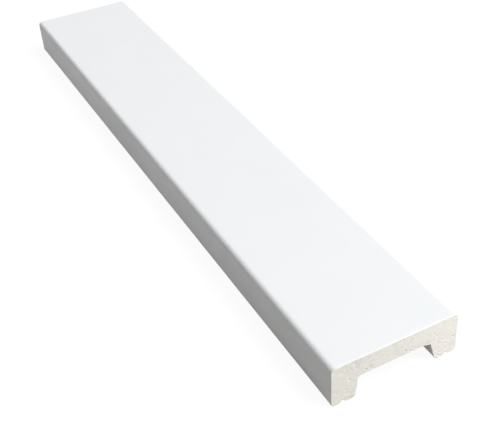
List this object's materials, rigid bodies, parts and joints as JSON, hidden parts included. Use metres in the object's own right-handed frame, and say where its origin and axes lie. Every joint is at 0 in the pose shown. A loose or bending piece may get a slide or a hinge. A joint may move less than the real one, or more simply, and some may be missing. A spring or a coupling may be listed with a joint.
{
  "type": "skirting board",
  "caption": "Straight length of white foam skirting with a plain face, rounded long edges and a wide cable channel between two grooved feet.",
  "frame": {"origin": "middle of the length and of the width, in the plane of the wall side, which is the plane that both feet lie on", "axes": "+X along the length, +Y from the lower long edge to the upper one as fitted, +Z out of the room side"},
  "size_m": [0.6, 0.1, 0.034],
  "materials": {
    "white_foam": "smooth satin white skin, with cream cut ends of fine foam"
  },
  "bodies": {
    "root": {"skirting_board": "white_foam"}
  },
  "joints": []
}
